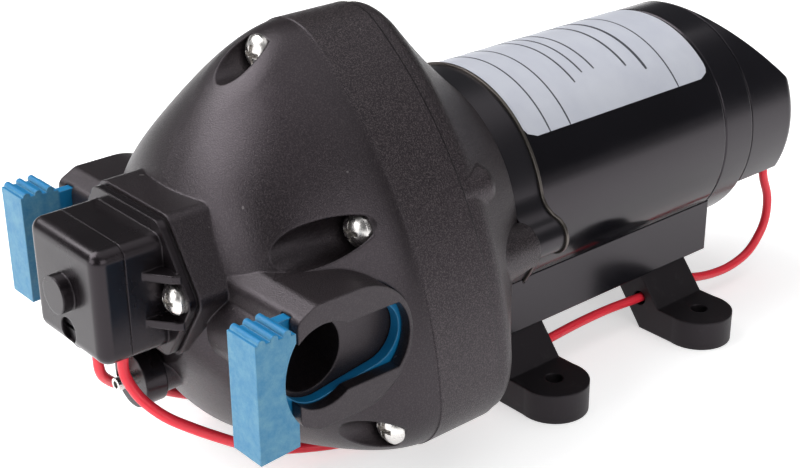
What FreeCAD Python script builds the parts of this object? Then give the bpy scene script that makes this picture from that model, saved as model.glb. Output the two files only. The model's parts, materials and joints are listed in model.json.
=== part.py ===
import FreeCAD
import Part
import math
import os

os.makedirs("parts", exist_ok=True)

V = FreeCAD.Vector

# Diaphragm water pump, in millimetres.
# The origin is on the floor, midway between the four foot holes.
# Y runs along the motor, with the pressure switch at -Y, and Z is up.

# Feet and their holes
foot_pitch_x = 78.0
foot_pitch_y = 56.0
foot_hole_r = 2.25
foot_ear_r = 9.0
foot_ear_height = 7.9
foot_leg_width = 17.7
foot_leg_top_inner_x = 13.8
foot_leg_floor_inner_x = 26.1
foot_leg_ear_x = 32.1
foot_plug_r = 3.0
foot_plug_cap_r = 4.6
foot_plug_cap_t = 1.6
foot_plug_x = 17.5
foot_wire_hole_r = 2.0

# Motor
axis_z = 47.8
can_r = 31.0
can_wall = 1.5
can_front_y = -26.5
can_len = 71.0
rear_bell_len = 11.5
rear_bell_wall = 2.4
cap_len = 19.0
cap_wall = 2.0
cap_end_z = 58.5
cap_floor_z = 33.8
cap_edge_r = 3.0
seam_chamfer = 0.4
front_bell_len = 9.4
bell_rim = 0.2
front_bell_plate = 3.0
bell_ear_out = 4.0
bell_ear_drop = 1.9
bell_ear_r = 4.4
bell_fillet_r = 7.0
can_lip = 0.6
can_lip_t = 0.8
bell_spigot = 4.0
shaft_r = 4.0
bearing_r = 11.0
bearing_w = 7.0
bearing_race_t = 2.0
shield_t = 0.6
shield_gap = 0.3
air_gap = 1.2
core_front_y = -12.0
core_len = 42.0
core_slots = 10
winding_inset = 2.0
winding_len = 9.0
commutator_r = 9.0
commutator_len = 11.0
commutator_bars = 10
magnet_t = 10.3
magnet_len = 50.0
magnet_span = 130.0
brush_w = 5.0
brush_len = 9.0
brush_case_wall = 0.9
brush_case_len = 13.0
bolt_r = 2.0
bolt_inset = 6.5
bolt_head_r = 2.8
bolt_head_t = 1.8
ear_screw_head_r = 3.7

# Bracket under the motor
bracket_half_w = 25.7
bracket_t = 1.1
bracket_gap = 0.1
bracket_front_y = -35.6
bracket_rear_y = 45.5

# Drive housing between motor and pump head
drive_len = 23.1
drive_flange_t = 2.0
drive_round = 4.0
drive_flange_inset = 0.5
drive_neck_step = 1.2
drive_wall = 3.2
drive_boss_r = 5.4
drive_boss_round_r = 3.0
drive_ear_wall = 1.2
drive_ear_root_r = 8.0
drive_ear_len = 18.0
drive_boss_len = 11.0
vertex_boss_len = 4.6

# Pump head outline, a rounded triangle with one corner up
lobe_drop = 2.15
vertex_r = 56.9
side_r = 44.3
corner_r = 15.4
band_len = 18.0
dome_len = 41.6
dome_step = 0.2
dome_fit_len = 34.0
dome_power = 1.86
tip_vertex_r = 28.15
tip_side_r = 31.2

# Screws of the pump head
vertex_screw_inset = 6.1
side_screw_inset = 5.5
head_screw_seat_y = -85.0
head_screw_shank_r = 2.1
head_screw_head_r = 4.2
head_screw_head_t = 2.9
tunnel_r = 4.8

# Raised seat and pressure switch
seat_half_w = 24.5
seat_half_top = 13.5
seat_half_h = 16.9
seat_z = 54.8
seat_corner_r = 3.5
seat_rise = 1.6
switch_gasket_t = 0.6
switch_gasket_inset = 1.1
switch_flange_t = 1.8
switch_flange_inset = 0.7
switch_half_w = 14.1
switch_half_h = 13.4
switch_body_len = 9.1
switch_cover_len = 7.2
switch_edge_r = 3.0
switch_wall = 2.0
switch_screw_x = 18.0
switch_rib_gap = 5.5
switch_rib_t = 1.8
button_r = 4.4
button_h = 2.7
button_z = 55.2
adjuster_z = 45.8
adjuster_r = 3.0
plunger_travel = 0.8
plunger_disc_r = 5.4
plunger_disc_t = 0.65
plunger_stem_r = 1.6
plunger_reach = 5.0

# Bypass valve under the switch
bypass_z = 28.2
bypass_r = 6.8
bypass_front_y = -125.0
bypass_cap_t = 5.5
bypass_neck_r = 5.6
bypass_bore_r = 4.2
bypass_screw_r = 1.6
bypass_screw_len = 11.0
bypass_screw_out = 4.0

# Ports with slide clips
port_y = -106.4
port_z = 45.6
port_face_x = 48.2
port_bore_r = 8.5
port_bore_end_x = 26.0
port_passage_r = 5.0
port_plate_t = 3.0
port_socket_wall = 1.8
port_mouth_r = 9.8
port_slot_half = 7.9
port_slot_arc_y = -94.8
port_slot_arc_r = 11.5
boss_half_h = 14.75
boss_front_y = -113.1
boss_rear_centre_y = -97.3
boss_root_x = 20.0
boss_horn_half = 12.2
boss_horn_run = 5.0
boss_edge_r = 2.5

clip_plate_t = 2.6
clip_half_w = 12.0
clip_clearance = 0.3
clip_rear_y = -81.1
clip_rear_wall = 2.8
clip_eye_r = 9.6
clip_lock_r = 7.4
hood_front_y = -126.2
hood_rear_y = -116.3
hood_outer_x = 51.87
hood_low_z = 31.3
hood_high_z = 58.8
hood_wall = 2.0
hood_scoop_r = 15.7
hood_scoop_y = -103.7
hood_scoop_z = 46.8
hood_rib_count = 3
hood_rib_r = 0.9

# Pumping parts
plate_r = 34.5
plate_seat_clearance = 0.2
plate_rear_gap = 0.2
plate_t = 11.0
plate_relief = 3.2
plate_seal_t = 0.8
chamber_count = 3
chamber_pitch_r = 17.0
chamber_r = 11.2
chamber_floor = 4.4
inlet_valve_pitch_r = 20.5
inlet_valve_r = 5.2
inlet_hole_turn = 8.0
valve_stem_r = 1.2
valve_hole_r = 1.2
valve_t = 0.9
outlet_hole_pitch_r = 6.9
piston_r = 9.4
piston_t = 3.4
membrane_t = 1.6
membrane_rim_r = 34.6
membrane_rim_in_r = 30.6
membrane_tilt_r = 27.0
membrane_rim_t = 2.2
cavity_r = 30.5
cavity_shoulder_y = -94.0
cavity_neck_y = -104.0
cavity_end_y = -112.0
cavity_neck_r = 20.0
outlet_tube_r = 8.5
outlet_tube_wall = 2.5
wobble_y = -49.0
wobble_tilt = 4.5
wobble_bearing_bore_r = 6.0
wobble_bearing_r = 14.0
wobble_bearing_w = 8.0
wobble_hub_r = 17.0
wobble_face = 8.5
wobble_plate_t = 3.6
wobble_lobe_r = 10.0
piston_screw_r = 1.6
running_gap = 0.05

# Wires from the switch to the motor
wire_r = 1.25
wire_hole_clearance = 0.3
wire_points = [
    (7.5, -130.3, 41.4),
    (7.7, -131.2, 35.6),
    (10.6, -129.4, 29.8),
    (15.2, -126.0, 25.6),
    (18.7, -120.0, 21.4),
    (19.5, -112.6, 16.0),
    (17.6, -105.4, 10.2),
    (16.0, -98.0, 5.6),
    (16.4, -90.6, 3.0),
    (19.4, -83.0, 2.2),
    (22.0, -74.0, 1.9),
    (23.2, -61.0, 2.0),
    (24.6, -48.6, 5.0),
    (25.5, -38.0, 8.9),
]
left_wire_points = [
    (-5.4, -129.6, 41.4),
    (-5.2, -130.0, 34.6),
    (-6.2, -129.4, 28.4),
    (-9.0, -124.4, 22.6),
    (-11.4, -114.4, 17.0),
    (-14.6, -106.4, 10.8),
    (-15.8, -98.6, 6.0),
    (-16.4, -90.6, 3.0),
    (-19.4, -83.0, 2.2),
    (-22.0, -74.0, 1.9),
    (-23.2, -61.0, 2.0),
    (-24.6, -48.6, 5.0),
    (-25.5, -38.0, 8.9),
]
wire_middle_points = [
    (25.5, -19.0, 8.9),
    (25.1, -6.0, 9.5),
    (25.1, 7.0, 9.6),
    (25.5, 19.0, 8.9),
]
wire_rear_points = [
    (25.5, 37.0, 8.9),
    (25.9, 47.0, 6.4),
    (26.2, 57.0, 5.8),
    (26.2, 66.5, 8.0),
    (25.4, 73.6, 14.6),
    (24.7, 75.0, 22.4),
    (24.3, 72.0, 29.4),
    (24.2, 71.2, 34.8),
]

# Places worked out from the sizes above
front_bell_y = can_front_y - front_bell_len
seam_y = front_bell_y - drive_len
band_front_y = seam_y - band_len
seat_y = band_front_y - dome_len - seat_rise
gasket_y = seat_y - switch_gasket_t
flange_y = gasket_y - switch_flange_t
parting_y = flange_y - switch_body_len
switch_front_y = parting_y - switch_cover_len
can_rear_y = can_front_y + can_len
rear_bell_y = can_rear_y + rear_bell_len
cap_rear_y = rear_bell_y + cap_len
can_inner_r = can_r - can_wall
magnet_inner_r = can_inner_r - magnet_t
core_r = magnet_inner_r - air_gap
winding_r = core_r - winding_inset
bolt_circle_r = can_inner_r - bolt_inset
front_bell_r = can_r + bell_rim
bell_ear_x = can_r + bell_ear_out
drive_neck_r = front_bell_r + drive_neck_step
bracket_bottom_z = axis_z - can_r - bracket_gap - bracket_t
vertex_screw_r = vertex_r - vertex_screw_inset
side_screw_r = side_r - side_screw_inset
lobe_z = axis_z - lobe_drop
plate_rear_y = seam_y - plate_rear_gap
plate_front_y = plate_rear_y - plate_t
clip_outer_x = port_face_x - port_plate_t - clip_clearance
clip_inner_x = clip_outer_x - clip_plate_t
pocket_inner_x = clip_inner_x - clip_clearance
pocket_outer_x = port_face_x - port_plate_t
membrane_front_w = -wobble_face - membrane_t
commutator_y = core_front_y + core_len + winding_len - 3.0
brush_case_end = commutator_r + brush_case_len
wedge_start = -90.0 - magnet_span / 2
ear_z = axis_z - bell_ear_drop
ear_seat_y = can_front_y + can_lip_t
plunger_disc_y = seat_y - running_gap - plunger_disc_t


def polar(degrees):
    """Unit vector in the XZ plane, 90 degrees up."""
    turn = math.radians(degrees)
    return V(math.cos(turn), 0, math.sin(turn))


def rod_y(radius, y0, y1, x=0.0, z=axis_z):
    return Part.makeCylinder(radius, y1 - y0, V(x, y0, z), V(0, 1, 0))


def tube_y(outer_r, inner_r, y0, y1, x=0.0, z=axis_z):
    return rod_y(outer_r, y0, y1, x, z).cut(rod_y(inner_r, y0, y1, x, z))


def rod_x(radius, x0, x1, y, z):
    return Part.makeCylinder(radius, x1 - x0, V(x0, y, z), V(1, 0, 0))


def rod_z(radius, z0, z1, x, y):
    return Part.makeCylinder(radius, z1 - z0, V(x, y, z0), V(0, 0, 1))


def block(x0, x1, y0, y1, z0, z1):
    return Part.makeBox(x1 - x0, y1 - y0, z1 - z0, V(x0, y0, z0))


def prism_y(corners, y0, y1):
    """Prism along Y from corners given as (x, z)."""
    points = [V(x, y0, z) for x, z in corners]
    return Part.Face(Part.makePolygon(points + points[:1])).extrude(V(0, y1 - y0, 0))


def prism_x(corners, x0, x1):
    """Prism along X from corners given as (y, z)."""
    points = [V(x0, y, z) for y, z in corners]
    return Part.Face(Part.makePolygon(points + points[:1])).extrude(V(x1 - x0, 0, 0))


def spin(profile):
    """Solid turned about the motor axis from a profile given as (radius, y)."""
    points = [V(radius, y, axis_z) for radius, y in profile]
    face = Part.Face(Part.makePolygon(points + points[:1]))
    return face.revolve(V(0, 0, axis_z), V(0, 1, 0), 360)


def mirrored(shape):
    """The same shape on the other side of the centre plane."""
    return shape.mirror(V(0, 0, 0), V(1, 0, 0))


def both_sides(shape):
    return Part.makeCompound([shape, mirrored(shape)])


def round_edges(shape, radius, test):
    """Fillet the edges whose middle point passes the test."""
    picked = [e for e in shape.Edges if test(e.CenterOfMass, e)]
    return shape.makeFillet(radius, picked)


def save(name, shape):
    solids = shape.Solids
    whole = solids[0] if len(solids) == 1 else Part.makeCompound(solids)
    whole.exportStep("parts/" + name + ".step")


def lobed_wire(y, vertex, side, corner, z=lobe_z):
    """Rounded triangle of six arcs, square to Y, with one corner up."""
    centre = V(0, y, z)
    reach = vertex - corner
    inset = side - corner
    back_off = (inset ** 2 - reach ** 2) / (reach - 2 * inset)
    arc_r = back_off + side
    sides = []
    for lobe in range(3):
        here = 90 - 120 * lobe
        middle = polar(here - 60)
        arc_centre = centre - middle * back_off
        ends = []
        for turn in (here, here - 120):
            outward = centre + polar(turn) * reach - arc_centre
            ends.append(arc_centre + outward.normalize() * arc_r)
        sides.append((ends[0], centre + middle * side, ends[1]))
    edges = []
    for lobe in range(3):
        following = sides[(lobe + 1) % 3]
        tip = centre + polar(-30 - 120 * lobe) * vertex
        edges.append(Part.Arc(*sides[lobe]).toShape())
        edges.append(Part.Arc(sides[lobe][2], tip, following[0]).toShape())
    return Part.Wire(edges)


def lobed_prism(y0, y1, inset=0.0):
    wire = lobed_wire(y0, vertex_r - inset, side_r - inset, corner_r - inset)
    return Part.Face(wire).extrude(V(0, y1 - y0, 0))


def dome_wire(y):
    """Section of the dome, which falls away from the band towards the switch."""
    fall = ((band_front_y - y) / dome_fit_len) ** dome_power
    vertex = vertex_r - dome_step + (tip_vertex_r - vertex_r) * fall
    side = min(side_r - dome_step + (tip_side_r - side_r) * fall, vertex - 0.5)
    corner = min(corner_r + (0.8 * tip_vertex_r - corner_r) * fall, 0.8 * vertex)
    return lobed_wire(y, vertex, side, corner)


def head_screw_places():
    """Centres of the six housing screws, as (x, z)."""
    places = []
    for step in range(6):
        radius = vertex_screw_r if step % 2 == 0 else side_screw_r
        spot = V(0, 0, lobe_z) + polar(90 - 60 * step) * radius
        places.append((spot.x, spot.z))
    return places


def at_side(x, z):
    """True for the three screws between the corners of the outline."""
    return math.hypot(x, z - lobe_z) < (vertex_screw_r + side_screw_r) / 2


def seat_prism(y0, y1, grow=0.0):
    """Six-sided seat of the switch with rounded corners."""
    wide = seat_half_w + grow
    top = seat_half_top + grow * 0.6
    tall = seat_half_h + grow
    corners = [(wide, seat_z), (top, seat_z + tall), (-top, seat_z + tall),
               (-wide, seat_z), (-top, seat_z - tall), (top, seat_z - tall)]
    solid = prism_y(corners, y0, y1)
    return round_edges(solid, seat_corner_r, lambda c, e: abs(e.Length - (y1 - y0)) < 0.01
                       and abs(c.y - (y0 + y1) / 2) < 0.01)


def port_boss():
    """Body of a port: horned at the front, round at the rear."""
    half = boss_half_h
    front = boss_front_y
    rear = boss_rear_centre_y
    p0 = V(boss_root_x, front, port_z - boss_horn_half)
    p1 = V(boss_root_x, front, port_z + boss_horn_half)
    p2 = V(boss_root_x, front + boss_horn_run, port_z + half)
    p3 = V(boss_root_x, rear, port_z + half)
    p4 = V(boss_root_x, rear + half, port_z)
    p5 = V(boss_root_x, rear, port_z - half)
    p6 = V(boss_root_x, front + boss_horn_run, port_z - half)
    edges = [Part.makeLine(p0, p1), Part.makeLine(p1, p2), Part.makeLine(p2, p3),
             Part.Arc(p3, p4, p5).toShape(), Part.makeLine(p5, p6), Part.makeLine(p6, p0)]
    body = Part.Face(Part.Wire(edges)).extrude(V(port_face_x - boss_root_x, 0, 0))
    body = round_edges(body, boss_edge_r, lambda c, e: c.y < rear - 0.01
                       and abs(e.Length - port_face_x + boss_root_x) < 0.01)
    socket = rod_x(port_bore_r + port_socket_wall, boss_root_x, pocket_inner_x, port_y, port_z)
    return body.fuse(socket)


def port_keyhole():
    """Opening in the face plate: a round mouth and a slot to the rear."""
    x0 = pocket_outer_x - 0.5
    x1 = port_face_x + 5.0
    mouth = rod_x(port_mouth_r, x0, x1, port_y, port_z)
    slot_rear = port_slot_arc_y + port_slot_arc_r
    slot = block(x0, x1, port_y, slot_rear, port_z - port_slot_half, port_z + port_slot_half)
    slot = slot.common(rod_x(port_slot_arc_r, x0, x1, port_slot_arc_y, port_z).fuse(
        block(x0, x1, port_y, port_slot_arc_y, port_z - port_slot_half, port_z + port_slot_half)))
    return mouth.fuse(slot)


def clip_pocket():
    """Room for the clip plate, open at the front of the boss."""
    half = clip_half_w + clip_clearance
    rear_centre = clip_rear_y - clip_half_w
    straight = block(pocket_inner_x, pocket_outer_x, boss_front_y - 8.0, rear_centre,
                     port_z - half, port_z + half)
    return straight.fuse(rod_x(half, pocket_inner_x, pocket_outer_x, rear_centre, port_z))


def pump_head():
    band = lobed_prism(band_front_y, seam_y)
    stations = [0.0, 0.22, 0.44, 0.66, 0.85, 1.0]
    sections = [dome_wire(band_front_y - share * dome_len) for share in stations]
    dome = Part.makeLoft(sections, True, False)
    seat = seat_prism(seat_y, seat_y + 18.0)
    bosses = [port_boss(), mirrored(port_boss())]
    bypass = rod_y(bypass_neck_r, bypass_front_y + bypass_cap_t, cavity_end_y + 6.0, 0.0, bypass_z)
    posts = [rod_y(tunnel_r, head_screw_seat_y, band_front_y, x, z)
             for x, z in head_screw_places() if at_side(x, z)]
    solid = band.fuse([dome, seat, bypass] + bosses + posts)
    floor_y = plate_front_y - plate_seal_t
    cavity = spin([(0, floor_y), (0, cavity_end_y), (cavity_neck_r, cavity_end_y),
                   (cavity_neck_r, cavity_neck_y), (cavity_r, cavity_shoulder_y),
                   (cavity_r, floor_y)])
    recess = rod_y(plate_r + plate_seat_clearance, floor_y, seam_y)
    tube = tube_y(outlet_tube_r + outlet_tube_wall, outlet_tube_r, cavity_end_y, floor_y)
    spout = rod_x(port_passage_r + outlet_tube_wall, 0.0, port_bore_end_x, port_y, port_z)
    spout = spout.cut(rod_y(outlet_tube_r, cavity_end_y, floor_y))
    cavity = cavity.cut([tube, spout])
    tools = [cavity, recess]
    for x, z in head_screw_places():
        tools.append(rod_y(tunnel_r, seat_y - 10.0, head_screw_seat_y, x, z))
        tools.append(rod_y(head_screw_shank_r, head_screw_seat_y, seam_y, x, z))
    bore = rod_x(port_bore_r, port_bore_end_x, pocket_inner_x, port_y, port_z)
    side_cuts = [port_keyhole(), clip_pocket(), bore]
    outlet = rod_x(port_passage_r, 0.0, port_bore_end_x, port_y, port_z)
    outside_tube = outlet_tube_r + outlet_tube_wall + 1.0
    inlet = mirrored(rod_x(port_passage_r, outside_tube, port_bore_end_x, port_y, port_z))
    for cut in side_cuts:
        tools.append(cut)
        tools.append(mirrored(cut))
    tools.append(outlet)
    tools.append(inlet)
    tools.append(rod_y(bypass_bore_r, bypass_front_y, cavity_end_y - 1.5, 0.0, bypass_z))
    tools.append(rod_y(2.2, cavity_end_y - 1.5, cavity_neck_y, 0.0, bypass_z))
    tools.append(rod_y(1.4, seat_y, cavity_end_y, 0.0, seat_z))
    tools.append(rod_y(8.0, seat_y, seat_y + 1.0, 0.0, seat_z))
    for x in (-switch_screw_x, switch_screw_x):
        tools.append(rod_y(1.5, seat_y, seat_y + 7.0, x, seat_z))
    return solid.cut(tools)


def screw(x, z, seat_y, shank_end_y, head_r, head_t, shank_r):
    """Pan head screw with a cross recess; the head lies in front of its seat."""
    reach = abs(shank_end_y - seat_y)
    way = 1.0 if shank_end_y > seat_y else -1.0
    rim = V(x + head_r, seat_y - way * head_t * 0.35, z)
    crown = V(x + head_r * 0.62, seat_y - way * head_t * 0.86, z)
    top = V(x, seat_y - way * head_t, z)
    edges = [Part.makeLine(V(x, seat_y, z), V(x + head_r, seat_y, z)),
             Part.makeLine(V(x + head_r, seat_y, z), rim),
             Part.Arc(rim, crown, top).toShape(),
             Part.makeLine(top, V(x, seat_y, z))]
    head = Part.Face(Part.Wire(edges)).revolve(V(x, 0, z), V(0, 1, 0), 360)
    shank = rod_y(shank_r, min(seat_y, shank_end_y), min(seat_y, shank_end_y) + reach, x, z)
    slot_len = head_r * 1.1
    slot_w = head_r * 0.28
    deep = sorted([seat_y - way * head_t * 1.1, seat_y - way * head_t * 0.4])
    cross = [block(x - slot_len / 2, x + slot_len / 2, deep[0], deep[1], z - slot_w / 2, z + slot_w / 2),
             block(x - slot_w / 2, x + slot_w / 2, deep[0], deep[1], z - slot_len / 2, z + slot_len / 2)]
    return head.fuse(shank).cut(cross)


def tilted(shape):
    """Turn a shape to the slant of the wobbling bearing."""
    return shape.rotated(V(0, wobble_y, axis_z), V(1, 0, 0), wobble_tilt)


def chamber_places(radius, turn=0.0):
    """Places of the three chambers about the motor axis, as (x, z)."""
    places = []
    for step in range(chamber_count):
        spot = V(0, 0, axis_z) + polar(90 + turn + 360.0 / chamber_count * step) * radius
        places.append((spot.x, spot.z))
    return places


def boss_end_y(x, z):
    """Rear end of a screw boss: long at the sides, short at the three corners."""
    return seam_y + (drive_boss_len if at_side(x, z) else vertex_boss_len)


def housing_screws():
    return Part.makeCompound([screw(x, z, head_screw_seat_y, boss_end_y(x, z) - 1.4, head_screw_head_r,
                                    head_screw_head_t, head_screw_shank_r - running_gap)
                              for x, z in head_screw_places()])


def drive_section(y, share):
    """Section of the drive housing, between the seam outline and the round neck."""
    keep = 1.0 - share
    return lobed_wire(y, (vertex_r - drive_flange_inset) * keep + (drive_neck_r + 0.4) * share,
                      (side_r - drive_flange_inset) * keep + drive_neck_r * share,
                      (corner_r - drive_flange_inset) * keep + drive_neck_r * 0.8 * share,
                      lobe_z * keep + axis_z * share)


def drive_shell():
    """Outside of the drive housing: straight at the seam, then easing into a cone."""
    start = seam_y + drive_flange_t
    slope = 1.0 / (front_bell_y - start - drive_round / 2)
    sections = [drive_section(seam_y, 0.0)]
    for step in range(5):
        run = drive_round * step / 4
        sections.append(drive_section(start + run, slope * run ** 2 / (2 * drive_round)))
    sections.append(drive_section(front_bell_y, 1.0))
    return Part.makeLoft(sections, True, True)


def drive_boss(x, z):
    """Blind screw boss with a rounded rear end."""
    end = boss_end_y(x, z)
    return round_edges(rod_y(drive_boss_r, seam_y, end, x, z), drive_boss_round_r,
                       lambda c, e: abs(c.y - end) < 0.01)


def drive_housing():
    pieces = [drive_boss(x, z) for x, z in head_screw_places()]
    for x in (-bell_ear_x, bell_ear_x):
        root = V(x, front_bell_y - drive_ear_len, ear_z)
        pieces.append(Part.makeCone(drive_ear_root_r, bell_ear_r + drive_ear_wall, drive_ear_len,
                                    root, V(0, 1, 0)))
    solid = drive_shell().fuse(pieces)
    rim_floor = plate_rear_y + membrane_rim_t
    rear_in = front_bell_y - drive_wall
    hollow = spin([(0, seam_y - 1.0), (0, rear_in), (wobble_hub_r + 6.0, rear_in),
                   (membrane_rim_in_r, rear_in - 8.0), (membrane_rim_in_r, rim_floor),
                   (membrane_rim_r + 0.1, rim_floor), (membrane_rim_r + 0.1, seam_y - 1.0)])
    tools = [hollow, rod_y(bearing_r + 2.6, rear_in - 1.0, front_bell_y + 1.0)]
    for x, z in head_screw_places():
        tools.append(rod_y(head_screw_shank_r, seam_y - 1.0, boss_end_y(x, z) - 1.0, x, z))
    for x in (-bell_ear_x, bell_ear_x):
        tools.append(rod_y(bolt_r + running_gap, front_bell_y - 7.0, front_bell_y + 1.0, x, ear_z))
    return solid.cut(tools)


def valve_plate():
    solid = rod_y(plate_r, plate_front_y, plate_rear_y)
    tools = [rod_y(membrane_rim_in_r, plate_rear_y - plate_relief, plate_rear_y)]
    floor_y = plate_front_y + chamber_floor
    for x, z in chamber_places(chamber_pitch_r):
        tools.append(rod_y(chamber_r, floor_y, plate_rear_y, x, z))
    for x, z in chamber_places(inlet_valve_pitch_r):
        tools.append(rod_y(valve_stem_r, plate_front_y, floor_y, x, z))
    for turn in (-inlet_hole_turn, inlet_hole_turn):
        for x, z in chamber_places(inlet_valve_pitch_r, turn):
            tools.append(rod_y(valve_hole_r, plate_front_y, floor_y, x, z))
    for x, z in chamber_places(outlet_hole_pitch_r):
        tools.append(rod_y(valve_hole_r, plate_front_y, floor_y, x, z))
    tools.append(rod_y(valve_stem_r, plate_front_y, plate_rear_y))
    return solid.cut(tools)


def plate_seal():
    return tube_y(plate_r - 0.4, cavity_r + 0.6, plate_front_y - plate_seal_t, plate_front_y)


def inlet_valves():
    """Three rubber umbrellas on the chamber floors."""
    floor_y = plate_front_y + chamber_floor
    valves = []
    for x, z in chamber_places(inlet_valve_pitch_r):
        cap = rod_y(inlet_valve_r, floor_y, floor_y + valve_t, x, z)
        valves.append(cap.fuse(rod_y(valve_stem_r, plate_front_y - valve_t, floor_y, x, z)))
    return Part.makeCompound(valves)


def outlet_valve():
    """One rubber disc over the three outlet holes, with a stem through the plate."""
    disc = rod_y(outlet_tube_r - 0.3, plate_front_y - valve_t, plate_front_y)
    return disc.fuse(rod_y(valve_stem_r, plate_front_y, plate_rear_y - plate_relief - 0.6))


def surface_block(y_rim, w_disc):
    """Everything ahead of a surface that runs from the flat rim to the tilted middle."""
    far = plate_front_y - 5.0
    rim = [Part.Wire([Part.makeCircle(membrane_rim_in_r, V(0, y, axis_z), V(0, 1, 0))])
           for y in (far, y_rim)]
    disc = Part.Wire([Part.makeCircle(membrane_tilt_r, V(0, wobble_y + w_disc, axis_z), V(0, 1, 0))])
    return Part.makeLoft(rim + [tilted(disc)], True, True)


def diaphragm():
    rim = tube_y(membrane_rim_r, membrane_rim_in_r, plate_rear_y, plate_rear_y + membrane_rim_t)
    sheet = surface_block(plate_rear_y + membrane_rim_t, -wobble_face).cut(
        surface_block(plate_rear_y, membrane_front_w))
    solid = rim.fuse(sheet)
    front = wobble_y + membrane_front_w - 1.0
    holes = [tilted(rod_y(piston_screw_r, front, wobble_y - wobble_face + 1.0, x, z))
             for x, z in chamber_places(chamber_pitch_r)]
    return solid.cut(holes)


def pistons():
    front = wobble_y + membrane_front_w - piston_t
    back = wobble_y + membrane_front_w
    shapes = []
    for x, z in chamber_places(chamber_pitch_r):
        body = rod_y(piston_r, front, back, x, z)
        shapes.append(tilted(body.cut(rod_y(piston_screw_r, front, back, x, z))))
    return Part.makeCompound(shapes)


def piston_screws():
    front = wobble_y + membrane_front_w - piston_t
    end = wobble_y - wobble_face + wobble_plate_t - 0.6
    return Part.makeCompound([tilted(rod_y(piston_screw_r, front, end, x, z))
                              for x, z in chamber_places(chamber_pitch_r)])


def wobble_plate():
    front = wobble_y - wobble_face
    back = front + wobble_plate_t
    solid = rod_y(wobble_hub_r, front, wobble_y + wobble_bearing_w / 2)
    lobes = [rod_y(wobble_lobe_r, front, back, x, z) for x, z in chamber_places(chamber_pitch_r)]
    solid = solid.fuse(lobes)
    tools = [rod_y(wobble_bearing_r, wobble_y - wobble_bearing_w / 2, wobble_y + wobble_bearing_w)]
    tools.append(rod_y(wobble_bearing_r - bearing_race_t, back, wobble_y))
    for x, z in chamber_places(chamber_pitch_r):
        tools.append(rod_y(piston_screw_r, front, back - 0.6, x, z))
    return tilted(solid.cut(tools))


def outer_race(radius, bore_r, y0, y1):
    """Outer race of a sealed ball bearing with its two shields."""
    race = tube_y(radius, radius - bearing_race_t, y0, y1)
    shield_r = bore_r + bearing_race_t + shield_gap
    shields = [tube_y(radius - bearing_race_t / 2, shield_r, y, y + shield_t)
               for y in (y0 + shield_gap, y1 - shield_gap - shield_t)]
    return race.fuse(shields)


def wobble_bearing_outer():
    half = wobble_bearing_w / 2
    return tilted(outer_race(wobble_bearing_r, wobble_bearing_bore_r, wobble_y - half, wobble_y + half))


def wobble_bearing_inner():
    half = wobble_bearing_w / 2
    return tilted(tube_y(wobble_bearing_bore_r + bearing_race_t, wobble_bearing_bore_r,
                         wobble_y - half, wobble_y + half))


def tilted_cam():
    half = wobble_bearing_w / 2
    sleeve = tilted(rod_y(wobble_bearing_bore_r, wobble_y - half, wobble_y + half))
    return sleeve.cut(rod_y(shaft_r, wobble_y - 2 * half, wobble_y + 2 * half))


def ball_bearing(y):
    """Sealed bearing; the inner race turns with the shaft."""
    inner = tube_y(shaft_r + bearing_race_t, shaft_r + running_gap, y, y + bearing_w)
    return Part.makeCompound([outer_race(bearing_r, shaft_r, y, y + bearing_w), inner])


def motor_shaft():
    return rod_y(shaft_r, wobble_y - wobble_bearing_w / 2 - 0.2, rear_bell_y + 0.5)


def armature_core():
    solid = tube_y(core_r, shaft_r, core_front_y, core_front_y + core_len)
    slots = []
    for step in range(core_slots):
        slot = block(core_r - 9.0, core_r + 1.0, core_front_y, core_front_y + core_len,
                     axis_z - 1.2, axis_z + 1.2)
        slots.append(slot.rotated(V(0, 0, axis_z), V(0, 1, 0), 360.0 / core_slots * step))
    return solid.cut(slots)


def armature_windings():
    """End turns of the windings, ahead of and behind the core."""
    rings = []
    for start, way in ((core_front_y, -1), (core_front_y + core_len, 1)):
        end = start + way * (winding_len - 3.0)
        rings.append(spin([(shaft_r, start), (winding_r, start), (winding_r, start + way * winding_len * 0.6),
                           (winding_r - 3.0, end), (shaft_r, end)]))
    return Part.makeCompound(rings)


def commutator():
    solid = tube_y(commutator_r, shaft_r, commutator_y, commutator_y + commutator_len)
    slits = []
    for step in range(commutator_bars):
        slit = block(commutator_r - 1.0, commutator_r + 1.0, commutator_y, commutator_y + commutator_len,
                     axis_z - 0.3, axis_z + 0.3)
        slits.append(slit.rotated(V(0, 0, axis_z), V(0, 1, 0), 360.0 / commutator_bars * (step + 0.5)))
    return solid.cut(slits)


def field_magnets():
    y0 = core_front_y + core_len / 2 - magnet_len / 2
    ring = tube_y(can_inner_r - running_gap, magnet_inner_r, y0, y0 + magnet_len)
    wedge = Part.makeCylinder(can_r, magnet_len, V(0, y0, axis_z), V(0, 1, 0), magnet_span)
    arcs = []
    for turn in (0, 180):
        arcs.append(ring.common(wedge.rotated(V(0, 0, axis_z), V(0, 1, 0), turn + wedge_start)))
    return Part.makeCompound(arcs)


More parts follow.
